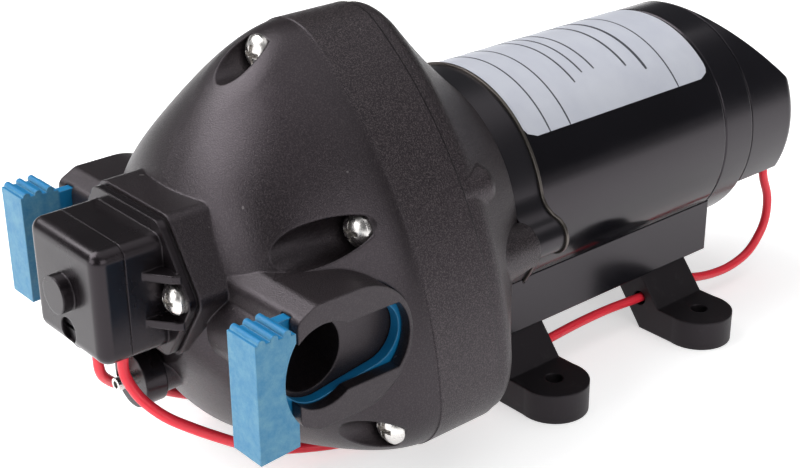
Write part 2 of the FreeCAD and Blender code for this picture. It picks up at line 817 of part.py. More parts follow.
def eared_disc(grow, y0, y1):
    """Round plate with two ears joined to it by hollow fillets, all grown outwards."""
    big = front_bell_r + grow
    small = bell_ear_r + grow
    hollow = bell_fillet_r - grow
    middle = V(0, y0, axis_z)
    ears = []
    for side in (1, -1):
        ear = V(side * bell_ear_x, y0, ear_z)
        span = (ear - middle).Length
        along = (ear - middle).normalize()
        across = V(-along.z, 0, along.x)
        run = ((big + hollow) ** 2 - (small + hollow) ** 2 + span ** 2) / (2 * span)
        rise = math.sqrt((big + hollow) ** 2 - run ** 2)
        flanks = []
        for way in (-1, 1):
            centre = middle + along * run + across * (way * rise)
            on_disc = middle + (centre - middle) * (big / (big + hollow))
            on_ear = ear + (centre - ear) * (small / (small + hollow))
            bend = centre + (on_disc + on_ear - centre * 2).normalize() * hollow
            flanks.append((on_disc, bend, on_ear))
        ears.append((flanks[0], ear + along * small, flanks[1]))
    edges = []
    for first, tip, last in ears:
        edges.append(Part.Arc(*first).toShape())
        edges.append(Part.Arc(first[2], tip, last[2]).toShape())
        edges.append(Part.Arc(last[2], last[1], last[0]).toShape())
    top = Part.Arc(ears[0][2][0], middle + V(0, 0, big), ears[1][0][0]).toShape()
    base = Part.Arc(ears[1][2][0], middle - V(0, 0, big), ears[0][0][0]).toShape()
    outline = Part.Wire(edges[:3] + [top] + edges[3:] + [base])
    return Part.Face(outline).extrude(V(0, y1 - y0, 0))


def ear_holes(y0, y1):
    return [rod_y(bolt_r + running_gap, y0, y1, x, ear_z) for x in (-bell_ear_x, bell_ear_x)]


def motor_can():
    """Steel tube whose front edge is turned out into a thin lip with two ears."""
    lip = eared_disc(can_lip, can_front_y, ear_seat_y)
    drum = rod_y(can_r, ear_seat_y, can_rear_y)
    rear_rim = [e for e in drum.Edges if abs(e.CenterOfMass.y - can_rear_y) < 0.01]
    drum = drum.makeChamfer(seam_chamfer, rear_rim)
    bore = rod_y(can_inner_r, can_front_y, can_rear_y)
    return lip.fuse(drum).cut([bore] + ear_holes(can_front_y, ear_seat_y))


def bolt_places():
    return [(0.0, axis_z + bolt_circle_r), (0.0, axis_z - bolt_circle_r)]


def motor_front_bell():
    spigot = rod_y(can_inner_r - running_gap, can_front_y, can_front_y + bell_spigot)
    solid = eared_disc(0.0, front_bell_y, can_front_y).fuse(spigot)
    inner = front_bell_r - 3.2
    hollow = tube_y(inner, bearing_r + 2.4, front_bell_y + front_bell_plate, can_front_y + bell_spigot)
    hub_cut = rod_y(bearing_r + 2.4, front_bell_y + bearing_w, can_front_y + bell_spigot)
    bearing_seat = rod_y(bearing_r, front_bell_y, front_bell_y + bearing_w)
    tools = [hollow, hub_cut, bearing_seat] + ear_holes(front_bell_y, can_front_y)
    for x, z in bolt_places():
        tools.append(rod_y(bolt_r + running_gap, front_bell_y, can_front_y + bell_spigot, x, z))
    return solid.cut(tools)


def ear_screws():
    return Part.makeCompound([screw(x, ear_z, ear_seat_y, front_bell_y - 6.5, ear_screw_head_r,
                                    bolt_head_t, bolt_r) for x in (-bell_ear_x, bell_ear_x)])


def rear_end_bell():
    solid = rod_y(can_r, can_rear_y, rear_bell_y)
    rims = [e for e in solid.Edges if e.Closed]
    solid = solid.makeChamfer(seam_chamfer, rims)
    solid = solid.fuse(rod_y(can_inner_r - running_gap, can_rear_y - bell_spigot, can_rear_y))
    wall_r = can_inner_r - rear_bell_wall
    plate_y = rear_bell_y - rear_bell_wall
    hollow = rod_y(wall_r, can_rear_y - bell_spigot, plate_y)
    seat = tube_y(bearing_r + 2.4, bearing_r, rear_bell_y - bearing_w, plate_y)
    tools = [hollow.cut(seat), rod_y(bearing_r, rear_bell_y - bearing_w - 1.0, rear_bell_y)]
    for x, z in bolt_places():
        tools.append(rod_y(bolt_r + running_gap, can_rear_y - bell_spigot, rear_bell_y, x, z))
    for x in (-16.0, 16.0):
        tools.append(rod_y(2.4, plate_y, rear_bell_y, x, axis_z - 14.0))
    return solid.cut(tools)


def through_bolts():
    return Part.makeCompound([screw(x, z, rear_bell_y, front_bell_y + 0.5, bolt_head_r, bolt_head_t, bolt_r)
                              for x, z in bolt_places()])


def brush_gear_y():
    """Middle of the brushes along the commutator."""
    return commutator_y + commutator_len / 2


def brushes():
    middle = brush_gear_y()
    inner = commutator_r + running_gap
    brush = block(inner, inner + brush_len, middle - brush_w / 2, middle + brush_w / 2,
                  axis_z - brush_w / 2, axis_z + brush_w / 2)
    return both_sides(brush.cut(rod_y(inner, middle - brush_w, middle + brush_w)))


def brush_springs():
    middle = brush_gear_y()
    start = commutator_r + running_gap + brush_len
    return both_sides(rod_x(brush_w / 2 - 0.6, start, brush_case_end, middle, axis_z).cut(
        rod_x(brush_w / 2 - 1.2, start, brush_case_end, middle, axis_z)))


def brush_plate():
    """Ring that carries the two brush cases."""
    middle = brush_gear_y()
    half = brush_w / 2 + running_gap
    outer = half + brush_case_wall
    plate_y = middle + outer
    plate = tube_y(can_inner_r - rear_bell_wall - 0.1, commutator_r + 4.0, plate_y, plate_y + 1.8)
    shape = plate
    for side in (0, 180):
        case = block(commutator_r + 2.0, brush_case_end + brush_case_wall, middle - outer, plate_y,
                     axis_z - outer, axis_z + outer)
        room = block(commutator_r, brush_case_end, middle - half, middle + half,
                     axis_z - half, axis_z + half)
        shape = shape.fuse(case.cut(room).rotated(V(0, 0, axis_z), V(0, 1, 0), side))
    return shape.cut([rod_y(bolt_r + 0.4, plate_y, plate_y + 1.8, x, z) for x, z in bolt_places()])


def cap_solid(wall):
    """Rear cap shape, moved inwards by a wall: a drum with a sloping top and a flat underside."""
    drum = rod_y(can_r - wall, rear_bell_y, cap_rear_y - wall)
    top = axis_z + can_r
    drop = wall * math.hypot(top - cap_end_z, cap_len) / cap_len
    slope = [(rear_bell_y, top - drop), (rear_bell_y + 2 * cap_len, 2 * cap_end_z - top - drop),
             (rear_bell_y + 2 * cap_len, top + 20.0), (rear_bell_y, top + 20.0)]
    under = block(-can_r, can_r, rear_bell_y, cap_rear_y, axis_z - can_r - 1.0, cap_floor_z + wall)
    solid = drum.cut([prism_x(slope, -can_r - 1.0, can_r + 1.0), under])
    rim_y = cap_rear_y - wall
    return round_edges(solid, cap_edge_r - wall * 0.5, lambda c, e: c.y > rear_bell_y + 1.0
                       and (abs(c.y - rim_y) < 0.01 or abs(c.x) < 1.0))


def rear_cap():
    solid = cap_solid(0.0)
    hollow = cap_solid(cap_wall)
    x, y, z = wire_rear_points[-1]
    holes = [rod_z(wire_r + wire_hole_clearance, cap_floor_z, cap_floor_z + cap_wall, side * x, y)
             for side in (-1, 1)]
    return solid.cut([hollow] + holes)


def motor_bracket():
    """Channel under the motor, shaped to the can along its upper edges."""
    top = axis_z - math.sqrt(can_r ** 2 - bracket_half_w ** 2) + 2.0
    outer = block(-bracket_half_w, bracket_half_w, bracket_front_y, bracket_rear_y, bracket_bottom_z, top)
    inner_w = bracket_half_w - bracket_t
    inner = block(-inner_w, inner_w, bracket_front_y, bracket_rear_y, bracket_bottom_z + bracket_t, top)
    solid = outer.cut([inner, rod_y(can_r, bracket_front_y, bracket_rear_y),
                       rod_y(front_bell_r, bracket_front_y, can_front_y),
                       rod_y(front_bell_r + can_lip, can_front_y, ear_seat_y)])
    holes = [rod_z(foot_plug_r, bracket_bottom_z, bracket_bottom_z + bracket_t,
                   x * foot_plug_x, y * foot_pitch_y / 2) for x in (-1, 1) for y in (-1, 1)]
    return solid.cut(holes)


def foot(side, end):
    """Rubber foot: an ear with the fixing hole, a slanting leg and a plug through the bracket."""
    x = foot_pitch_x / 2
    y = end * foot_pitch_y / 2
    y0 = y - foot_leg_width / 2
    y1 = y + foot_leg_width / 2
    leg = prism_y([(foot_leg_top_inner_x, bracket_bottom_z), (bracket_half_w, bracket_bottom_z),
                   (foot_leg_ear_x, foot_ear_height), (foot_leg_ear_x, 0),
                   (foot_leg_floor_inner_x, 0)], y0, y1)
    ear = rod_z(foot_ear_r, 0, foot_ear_height, x, y)
    ear = ear.fuse(block(foot_leg_floor_inner_x + 1.0, x, y0, y1, 0, foot_ear_height))
    plug = rod_z(foot_plug_r, bracket_bottom_z, bracket_bottom_z + bracket_t, foot_plug_x, y)
    cap_z = bracket_bottom_z + bracket_t
    cap = rod_z(foot_plug_cap_r, cap_z, cap_z + foot_plug_cap_t, foot_plug_x, y)
    solid = leg.fuse([ear, plug, cap])
    wire_x, wire_z = wire_middle_points[0][0], wire_middle_points[0][2]
    solid = solid.cut([rod_z(foot_hole_r, 0, foot_ear_height, x, y),
                       rod_y(foot_wire_hole_r, y0 - 1.0, y1 + 1.0, wire_x, wire_z)])
    return solid if side > 0 else mirrored(solid)


def switch_box(y0, y1, shrink):
    half_w = switch_half_w - shrink
    half_h = switch_half_h - shrink
    return block(-half_w, half_w, y0, y1, seat_z - half_h, seat_z + half_h)


def switch_body():
    box = switch_box(parting_y, flange_y, 0.0)
    box = round_edges(box, switch_edge_r, lambda c, e: abs(e.Length - switch_body_len) < 0.01)
    ribs = []
    rib_root = flange_y - 6.0
    for side in (-1, 1):
        for offset in (-switch_rib_gap, switch_rib_gap):
            low = seat_z + offset - switch_rib_t / 2
            points = [(switch_half_w - 1.0, rib_root), (switch_half_w - 1.0, flange_y),
                      (switch_half_w + 6.8, flange_y), (switch_half_w + 5.6, flange_y - 1.6)]
            corners = [V(side * x, y, low) for x, y in points]
            face = Part.Face(Part.makePolygon(corners + corners[:1]))
            ribs.append(face.extrude(V(0, 0, switch_rib_t)))
    solid = seat_prism(flange_y, gasket_y, -switch_flange_inset).fuse([box] + ribs)
    tools = [switch_box(parting_y, flange_y, switch_wall)]
    tools.append(rod_y(plunger_disc_r + 0.4, gasket_y - 1.4, gasket_y, 0.0, seat_z))
    tools.append(rod_y(plunger_stem_r + running_gap, flange_y, gasket_y, 0.0, seat_z))
    for x in (-switch_screw_x, switch_screw_x):
        tools.append(rod_y(1.5 + running_gap, flange_y, gasket_y, x, seat_z))
    for x, y, z in (wire_points[0], left_wire_points[0]):
        tools.append(rod_z(wire_r + wire_hole_clearance, z - 0.5, z + switch_wall, x, y))
    return solid.cut(tools)


def switch_cover():
    box = switch_box(switch_front_y, parting_y, 0.0)
    box = round_edges(box, switch_edge_r, lambda c, e: abs(e.Length - switch_cover_len) < 0.01
                      or abs(c.y - switch_front_y) < 0.01)
    disc = rod_y(button_r, switch_front_y - button_h, switch_front_y + 0.5, 0.0, button_z)
    guide = rod_y(adjuster_r + 1.6, switch_front_y + switch_wall - 0.5, parting_y, 0.0, adjuster_z)
    room = switch_box(switch_front_y + switch_wall, parting_y, switch_wall)
    solid = box.cut(room).fuse([disc, guide])
    return solid.cut(rod_y(adjuster_r + running_gap, switch_front_y - 1.0, parting_y + 1.0, 0.0, adjuster_z))


def switch_gasket():
    solid = seat_prism(gasket_y, seat_y, -switch_gasket_inset)
    holes = [rod_y(plunger_disc_r + 0.4, gasket_y, seat_y, 0.0, seat_z)]
    for x in (-switch_screw_x, switch_screw_x):
        holes.append(rod_y(1.5 + running_gap, gasket_y, seat_y, x, seat_z))
    return solid.cut(holes)


def switch_screws():
    return Part.makeCompound([screw(x, seat_z, flange_y, seat_y + 6.0, 3.5, 2.3, 1.45)
                              for x in (-switch_screw_x, switch_screw_x)])


def switch_diaphragm():
    return rod_y(8.0, seat_y, seat_y + 1.0, 0.0, seat_z)


def switch_plunger():
    disc = rod_y(plunger_disc_r, plunger_disc_y, seat_y - running_gap, 0.0, seat_z)
    return disc.fuse(rod_y(plunger_stem_r, flange_y - plunger_reach, plunger_disc_y, 0.0, seat_z))


def switch_spring():
    return tube_y(plunger_disc_r - 0.8, plunger_stem_r + 0.8, gasket_y - 1.4, plunger_disc_y, 0.0, seat_z)


def microswitch():
    front = switch_front_y + switch_wall
    rear = flange_y - plunger_reach - plunger_travel - 0.6
    body = block(-6.4, 6.4, front, rear, seat_z - 3.4, seat_z + 8.0)
    return body.fuse(rod_y(1.2, rear, rear + 0.5, 0.0, seat_z))


def pressure_adjuster():
    """Slotted screw that sets the switching pressure."""
    body = rod_y(adjuster_r, switch_front_y + 1.2, parting_y - 0.2, 0.0, adjuster_z)
    return body.cut(block(-adjuster_r - 1.0, adjuster_r + 1.0, switch_front_y, switch_front_y + 2.4,
                          adjuster_z - 0.45, adjuster_z + 0.45))


def bypass_cap():
    return tube_y(bypass_r, bypass_screw_r + running_gap, bypass_front_y,
                  bypass_front_y + bypass_cap_t, 0.0, bypass_z)


def bypass_screw():
    front = bypass_front_y - bypass_screw_out
    body = rod_y(bypass_screw_r, front, front + bypass_screw_len, 0.0, bypass_z)
    points = []
    for step in range(6):
        spot = V(0, 0, bypass_z) + polar(60 * step) * (bypass_screw_r * 0.6)
        points.append((spot.x, spot.z))
    return body.cut(prism_y(points, front - 1.0, front + 2.4))


def bypass_poppet():
    seat = cavity_end_y - 1.5
    return rod_y(bypass_bore_r - running_gap, seat - 2.3, seat, 0.0, bypass_z)


def bypass_spring():
    seat = cavity_end_y - 1.5
    return tube_y(bypass_bore_r - 0.3, bypass_screw_r + 0.3, bypass_front_y + bypass_cap_t,
                  seat - 2.3, 0.0, bypass_z)


def clip_eye(x0, x1):
    """Opening of the clip plate: a wide eye that narrows to the rear."""
    lock_y = clip_rear_y - clip_rear_wall - clip_lock_r
    run = lock_y - port_y
    lean = math.asin((clip_eye_r - clip_lock_r) / run)
    corners = []
    for centre, radius in ((port_y, clip_eye_r), (lock_y, clip_lock_r)):
        corners.append((centre + radius * math.sin(lean), radius * math.cos(lean)))
    points = [(y, port_z + h) for y, h in corners] + [(y, port_z - h) for y, h in reversed(corners)]
    eye = rod_x(clip_eye_r, x0, x1, port_y, port_z)
    return eye.fuse([rod_x(clip_lock_r, x0, x1, lock_y, port_z), prism_x(points, x0, x1)])


def slide_clip():
    """Slide clip of the +X port: a plate with an eye, and a hooded finger grip."""
    rear_centre = clip_rear_y - clip_half_w
    plate = block(clip_inner_x, clip_outer_x, hood_front_y + hood_wall, rear_centre,
                  port_z - clip_half_w, port_z + clip_half_w)
    plate = plate.fuse(rod_x(clip_half_w, clip_inner_x, clip_outer_x, rear_centre, port_z))
    outline = [(hood_front_y, hood_low_z), (hood_front_y, hood_high_z), (hood_rear_y, hood_high_z - 0.6),
               (hood_rear_y, hood_low_z + 0.6)]
    hood = prism_x(outline, clip_inner_x, hood_outer_x)
    room = block(clip_inner_x, hood_outer_x - hood_wall, hood_front_y + hood_wall, hood_rear_y,
                 hood_low_z + hood_wall, hood_high_z - hood_wall)
    hood = hood.cut(room)
    scoop = rod_x(hood_scoop_r, clip_outer_x, hood_outer_x + 1.0, hood_scoop_y, hood_scoop_z)
    ribs = []
    for step in range(hood_rib_count):
        y = hood_front_y + 1.6 + step * 3.1
        ribs.append(rod_x(hood_rib_r, clip_inner_x, hood_outer_x, y, hood_high_z))
    return hood.fuse(ribs).cut(scoop).fuse(plate).cut(clip_eye(clip_inner_x, clip_outer_x))


def wire_path(points):
    """Straight runs joined by tangent arcs."""
    places = [V(*point) for point in points]
    edges = []
    start = places[0]
    radii = []
    for before, here, after in zip(places, places[1:], places[2:]):
        back = before - here
        ahead = after - here
        run = 0.45 * min(back.Length, ahead.Length)
        back.normalize()
        ahead.normalize()
        half_turn = (math.pi - back.getAngle(ahead)) / 2
        bend = run / math.tan(half_turn)
        inward = (back + ahead).normalize()
        middle = here + inward * (bend / math.cos(half_turn) - bend)
        edges.append(Part.makeLine(start, here + back * run))
        start = here + ahead * run
        edges.append(Part.Arc(here + back * run, middle, start).toShape())
        radii.append(bend)
    edges.append(Part.makeLine(start, places[-1]))
    print("wire bend radii", [round(radius, 1) for radius in radii])
    return Part.Wire(edges), places[1] - places[0]


def switch_wire(points):
    path, heading = wire_path(points)
    start = path.OrderedVertexes[0].Point
    pipe = Part.BRepOffsetAPI.MakePipeShell(path)
    pipe.add(Part.Wire([Part.makeCircle(wire_r, start, heading)]))
    pipe.build()
    pipe.makeSolid()
    solid = pipe.shape()
    print("wire length", round(path.Length, 1), "volume ratio",
          round(solid.Volume / (math.pi * wire_r ** 2 * path.Length), 4))
    return solid


save("pump_head", pump_head())
save("drive_housing", drive_housing())
save("housing_screws", housing_screws())
save("valve_plate", valve_plate())
save("plate_seal", plate_seal())
save("inlet_valves", inlet_valves())
save("outlet_valve", outlet_valve())
save("diaphragm", diaphragm())
save("pistons", pistons())
save("piston_screws", piston_screws())
save("wobble_plate", wobble_plate())
save("wobble_bearing_outer", wobble_bearing_outer())
save("wobble_bearing_inner", wobble_bearing_inner())
save("tilted_cam", tilted_cam())
save("motor_shaft", motor_shaft())
save("armature_core", armature_core())
save("armature_windings", armature_windings())
save("commutator", commutator())
save("field_magnets", field_magnets())
save("motor_can", motor_can())
save("motor_front_bell", motor_front_bell())
save("front_bearing", ball_bearing(front_bell_y))
save("rear_bearing", ball_bearing(rear_bell_y - bearing_w))
save("ear_screws", ear_screws())
save("rear_end_bell", rear_end_bell())
save("through_bolts", through_bolts())
save("brushes", brushes())
save("brush_springs", brush_springs())
save("brush_plate", brush_plate())
save("rear_cap", rear_cap())
save("motor_bracket", motor_bracket())
save("foot_front_right", foot(1, -1))
save("foot_front_left", foot(-1, -1))
save("foot_rear_right", foot(1, 1))
save("foot_rear_left", foot(-1, 1))
save("switch_body", switch_body())
save("switch_cover", switch_cover())
save("switch_gasket", switch_gasket())
save("switch_screws", switch_screws())
save("switch_diaphragm", switch_diaphragm())
save("switch_plunger", switch_plunger())
save("switch_spring", switch_spring())
save("microswitch", microswitch())
save("pressure_adjuster", pressure_adjuster())
save("bypass_cap", bypass_cap())
save("bypass_screw", bypass_screw())
save("bypass_poppet", bypass_poppet())
save("bypass_spring", bypass_spring())
right_clip = slide_clip()
save("clip_right", right_clip)
save("clip_left", mirrored(right_clip))
save("wire_right", switch_wire(wire_points + wire_middle_points + wire_rear_points))
left_points = [(-x, y, z) for x, y, z in wire_middle_points + wire_rear_points]
save("wire_left", switch_wire(left_wire_points + left_points))
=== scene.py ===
import json
import math

import bmesh
import bpy
from mathutils import Matrix, Vector


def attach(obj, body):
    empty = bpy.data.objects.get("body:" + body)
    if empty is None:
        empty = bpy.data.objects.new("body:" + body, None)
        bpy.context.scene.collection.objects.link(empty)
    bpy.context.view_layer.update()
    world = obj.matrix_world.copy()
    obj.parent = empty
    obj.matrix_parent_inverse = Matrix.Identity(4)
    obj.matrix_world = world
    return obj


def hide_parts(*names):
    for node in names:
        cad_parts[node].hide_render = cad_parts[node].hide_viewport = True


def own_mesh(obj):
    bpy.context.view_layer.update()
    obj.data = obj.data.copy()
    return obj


MM = 0.001

# Camera, from the photograph's perspective; angles in degrees, lens and sensor in millimetres
CAMERA_AT = (269.05 * MM, -273.73 * MM, 206.57 * MM)
CAMERA_AZIMUTH = 49.64
CAMERA_ELEVATION = 25.35
CAMERA_ROLL = -0.458
CAMERA_LENS = 69.6
SENSOR_WIDTH = 36.0
CAMERA_CLIP_START = 0.01

# Places on the object, in millimetres
MOTOR_AXIS_Z = 47.8
CAN_R = 31.0
CAN_LIP_REAR_Y = -25.7
CAN_LIP_FADE = 0.05
BAND_FRONT_Y = -77.0
BAND_GRAIN_START = 1.2  # the stronger grain sets in this far in front of the band
BAND_GRAIN_FULL = 0.4  # and is at its full strength this far behind the band's front edge
GRIP_REAR_Y = -116.3  # rear face of the clips' finger grips
GRIP_FADE = 0.4
SEAM_Y = -59.0
SEAM_HALF_WIDTH = 0.18

# Label on the motor can: sizes in millimetres, angles in degrees with 90 at the top
LABEL_FRONT_Y = -25.2
LABEL_REAR_Y = 43.4
LABEL_LOW_ANGLE = 38.2
LABEL_HIGH_ANGLE = 141.8
LABEL_CORNER_R = 3.6
LABEL_PROUD = 0.12
LABEL_THICKNESS = 0.1
LABEL_STEP = 1.2
RULE_PROUD = 0.17
RULE_THICKNESS = 0.04
RULE_CORNER_PARTS = 8  # corner radius of a ruled line: its width divided by this
# Each ruled line: y, angles of its ends, width
RULES = (
    (-17.3, 38.2, 141.8, 0.45),
    (-10.2, 38.2, 141.8, 0.45),
    (30.6, 38.2, 141.8, 0.45),
    (23.4, 52.0, 128.0, 0.9),
    (17.8, 57.0, 123.0, 0.7),
    (7.6, 61.0, 119.0, 0.55),
    (3.2, 61.0, 119.0, 0.55),
    (-1.2, 57.0, 123.0, 0.55),
)

# Each coil spring: name, CAD node, joint, centre z, fixed end y, free end y, mean radius, wire radius,
# turns, travel
SPRINGS = (
    ("switch_coil", "switch_spring", "switch_plunger_slide", 54.8, -122.2, -120.9, 4.2, 0.2, 2.5, 0.8),
    ("bypass_coil", "bypass_spring", "bypass_poppet_slide", 28.2, -119.5, -115.8, 3.45, 0.3, 4.5, 1.5),
)
COIL_STEPS = 28  # sections in a turn
COIL_SIDES = 8

# Studio, in metres and watts
FLOOR_REACH = 30.0
FLOOR_DROP = 0.0002
FLOOR_COLOUR = (0.9, 0.9, 0.9, 1.0)
FLOOR_ROUGHNESS = 0.9
FLOOR_LIFT = 0.55
# Brightness of the room: height of the ray's direction from 0 to 1, level
WORLD_LEVELS = ((0.0, 0.55), (0.04, 0.35), (0.16, 0.07), (0.70, 0.08), (1.0, 0.4))
WORLD_BLUE = 1.02
# Each lamp: name, place, point it faces, size, power
LAMPS = (
    ("key", (-0.62, -0.60, 1.05), (0.0, -0.09, 0.05), (1.0, 1.0), 18.0),
    ("front", (-0.20, -1.20, 0.45), (0.0, -0.09, 0.03), (0.9, 0.6), 5.5),
    ("top", (0.15, 0.3, 1.2), (0.0, 0.0, 0.05), (1.3, 1.3), 3.6),
    ("side", (1.1, -0.1, 0.5), (0.0, 0.0, 0.03), (0.9, 0.6), 4.5),
)

# Looks that several materials share
WHITE = (1.0, 1.0, 1.0, 1.0)
DARK_SHEEN = (1.0, 0.88, 0.97, 1.0)  # faint pink tint of the gloss on black pieces
NOISE_LOW = 0.3
NOISE_HIGH = 0.7
BEVEL_SAMPLES = 6
EDGE_START = 0.98  # cosine between the softened and the flat normal where an edge begins
EDGE_FULL = 0.80


def linear(level):
    """Linear value of an sRGB level from 0 to 255."""
    share = level / 255.0
    return share / 12.92 if share <= 0.04045 else ((share + 0.055) / 1.055) ** 2.4


def colour(red, green, blue):
    return (linear(red), linear(green), linear(blue), 1.0)


class Shader:
    """A principled material with helpers for procedural detail."""

    def __init__(self, name, base, roughness, **sockets):
        self.material = bpy.data.materials.new(name)
        self.material.use_nodes = True
        self.tree = self.material.node_tree
        self.bsdf = self.tree.nodes["Principled BSDF"]
        self.set("Base Color", base)
        self.set("Roughness", roughness)
        for key, value in sockets.items():
            self.set(key.replace("_", " "), value)
        self.place = self.node("ShaderNodeTexCoord").outputs["Object"]

    def set(self, socket, value):
        self.bsdf.inputs[socket].default_value = value

    def node(self, kind, **settings):
        made = self.tree.nodes.new(kind)
        for key, value in settings.items():
            setattr(made, key, value)
        return made

    def join(self, source, target):
        self.tree.links.new(source, target)

    def feed(self, source, socket):
        """Joins a source to a socket of the material's own shader."""
        self.join(source, self.bsdf.inputs[socket])

    def noise(self, scale, detail=3.0, rough=0.55, stretch=None):
        made = self.node("ShaderNodeTexNoise")
        made.inputs["Scale"].default_value = scale
        made.inputs["Detail"].default_value = detail
        made.inputs["Roughness"].default_value = rough
        if stretch:
            mapping = self.node("ShaderNodeMapping")
            mapping.inputs["Scale"].default_value = stretch
            self.join(self.place, mapping.inputs["Vector"])
            self.join(mapping.outputs["Vector"], made.inputs["Vector"])
        else:
            self.join(self.place, made.inputs["Vector"])
        return made.outputs["Fac"]

    def ramp(self, source, low, high, low_value, high_value):
        made = self.node("ShaderNodeMapRange")
        made.inputs["From Min"].default_value = low
        made.inputs["From Max"].default_value = high
        made.inputs["To Min"].default_value = low_value
        made.inputs["To Max"].default_value = high_value
        self.join(source, made.inputs["Value"])
        return made.outputs["Result"]

    def spread(self, noise, low_value=0.0, high_value=1.0):
        """Spreads the middle of a noise over a range of values."""
        return self.ramp(noise, NOISE_LOW, NOISE_HIGH, low_value, high_value)

    def maths(self, operation, first, second):
        made = self.node("ShaderNodeMath", operation=operation)
        for socket, value in zip(made.inputs, (first, second)):
            if isinstance(value, (int, float)):
                socket.default_value = value
            else:
                self.join(value, socket)
        return made.outputs["Value"]

    def mix(self, share, first, second):
        made = self.node("ShaderNodeMix", data_type="RGBA")
        self.join(share, made.inputs["Factor"])
        for socket, value in ((made.inputs["A"], first), (made.inputs["B"], second)):
            if isinstance(value, tuple):
                socket.default_value = value
            else:
                self.join(value, socket)
        return made.outputs["Result"]

    def rounded(self, radius_mm):
        """Normal that softens the edges."""
        made = self.node("ShaderNodeBevel", samples=BEVEL_SAMPLES)
        made.inputs["Radius"].default_value = radius_mm * MM
        return made.outputs["Normal"]

    def edges(self, radius_mm):
        """1 along the edges, 0 on the flats."""
        soft = self.rounded(radius_mm)
        flat = self.node("ShaderNodeNewGeometry").outputs["Normal"]
        dot = self.node("ShaderNodeVectorMath", operation="DOT_PRODUCT")
        self.join(soft, dot.inputs[0])
        self.join(flat, dot.inputs[1])
        return self.ramp(dot.outputs["Value"], EDGE_START, EDGE_FULL, 0.0, 1.0)

    def bump(self, height, strength, distance_mm, normal=None):
        made = self.node("ShaderNodeBump")
        made.inputs["Strength"].default_value = strength
        made.inputs["Distance"].default_value = distance_mm * MM
        self.join(height, made.inputs["Height"])
        if normal:
            self.join(normal, made.inputs["Normal"])
        self.feed(made.outputs["Normal"], "Normal")

    def part_of(self, vector, axis):
        """X, Y or Z part of a vector."""
        split = self.node("ShaderNodeSeparateXYZ")
        self.join(vector, split.inputs["Vector"])
        return split.outputs[axis]

    def along_y(self):
        """Place along the motor, in metres."""
        return self.part_of(self.place, "Y")

    def in_front_of(self, y, fade):
        """1 in front of a place along the motor and 0 behind it; place and fade in millimetres."""
        return self.ramp(self.along_y(), (y - fade) * MM, (y + fade) * MM, 1.0, 0.0)

    def upward(self):
        """Height part of the surface normal: 1 where a face looks straight up."""
        return self.part_of(self.node("ShaderNodeNewGeometry").outputs["Normal"], "Z")


def head_plastic():
    """Charcoal moulding: fine grain on the dome, stronger behind it, a dark seam between the halves."""
    made = Shader("head_plastic", colour(19, 15, 18), 0.36, Specular_IOR_Level=0.5, Specular_Tint=DARK_SHEEN)
    y = made.along_y()
    behind = made.ramp(y, (BAND_FRONT_Y - BAND_GRAIN_START) * MM, (BAND_FRONT_Y + BAND_GRAIN_FULL) * MM,
                       0.0, 1.0)
    from_seam = made.maths("ABSOLUTE", made.maths("SUBTRACT", y, SEAM_Y * MM), 0.0)
    off_seam = made.ramp(from_seam, SEAM_HALF_WIDTH * MM, 2.0 * SEAM_HALF_WIDTH * MM, 0.0, 1.0)
    fine = made.noise(3300.0, 2.0)
    coarse = made.noise(3000.0, 1.5, 0.8)
    cloud = made.ramp(made.noise(34.0, 5.0), 0.35, 0.7, 0.0, 1.0)
    base = made.mix(cloud, colour(14, 11, 13), colour(24, 19, 22))
    reach = made.maths("ADD", made.maths("MULTIPLY", behind, 0.34), 0.2)
    specks = made.maths("MULTIPLY", made.ramp(coarse, 0.46, 0.66, 0.0, 1.0), reach)
    base = made.mix(specks, base, colour(98, 90, 91))
    dust = made.ramp(made.noise(520.0, 1.0, 0.5), 0.785, 0.80, 0.0, 0.4)
    base = made.mix(dust, base, colour(120, 116, 116))
    made.feed(made.mix(off_seam, colour(8, 6, 7), base), "Base Color")
    made.feed(made.spread(fine, 0.28, 0.43), "Roughness")
    grain = made.maths("MULTIPLY", coarse, made.maths("ADD", made.maths("MULTIPLY", behind, 0.6), 0.4))
    height = made.maths("ADD", made.maths("MULTIPLY", fine, 0.4), grain)
    made.bump(height, 1.0, 0.12, made.rounded(0.7))
    return made.material


def plain_plastic(name, base, roughness, grain=900.0, strength=0.12, edge=0.35, sheen=WHITE):
    """Even moulding with a faint grain and soft edges."""
    made = Shader(name, base, roughness, Specular_IOR_Level=0.4, Specular_Tint=sheen)
    made.feed(made.spread(made.noise(60.0, 4.0), roughness - 0.05, roughness + 0.07), "Roughness")
    made.bump(made.noise(grain), strength, 0.06, made.rounded(edge))
    return made.material


def coated_metal(name, base, roughness):
    """Smooth dark paint with a faint orange peel."""
    made = Shader(name, base, roughness, Specular_IOR_Level=0.5, Specular_Tint=DARK_SHEEN)
    made.feed(made.spread(made.noise(30.0, 4.0), roughness - 0.03, roughness + 0.05), "Roughness")
    made.bump(made.noise(260.0, 2.0), 0.05, 0.1, made.rounded(0.5))
    return made.material


def can_paint():
    """Gloss black coating on the drawn can, worn to dull metal on its thin front lip."""
    made = Shader("can_paint", colour(16, 16, 19), 0.14, Specular_IOR_Level=0.5, Specular_Tint=DARK_SHEEN)
    lip = made.in_front_of(CAN_LIP_REAR_Y, CAN_LIP_FADE)
    base = made.mix(made.spread(made.noise(26.0)), colour(14, 14, 17), colour(19, 19, 23))
    made.feed(made.mix(lip, base, colour(104, 99, 94)), "Base Color")
    made.feed(made.maths("MULTIPLY", lip, 0.85), "Metallic")
    scuff = made.ramp(made.noise(90.0, 5.0, 0.6), 0.3, 0.75, 0.10, 0.19)
    made.feed(made.maths("ADD", scuff, made.maths("MULTIPLY", lip, 0.2)), "Roughness")
    made.bump(made.noise(260.0, 2.0), 0.035, 0.1, made.rounded(0.4))
    return made.material


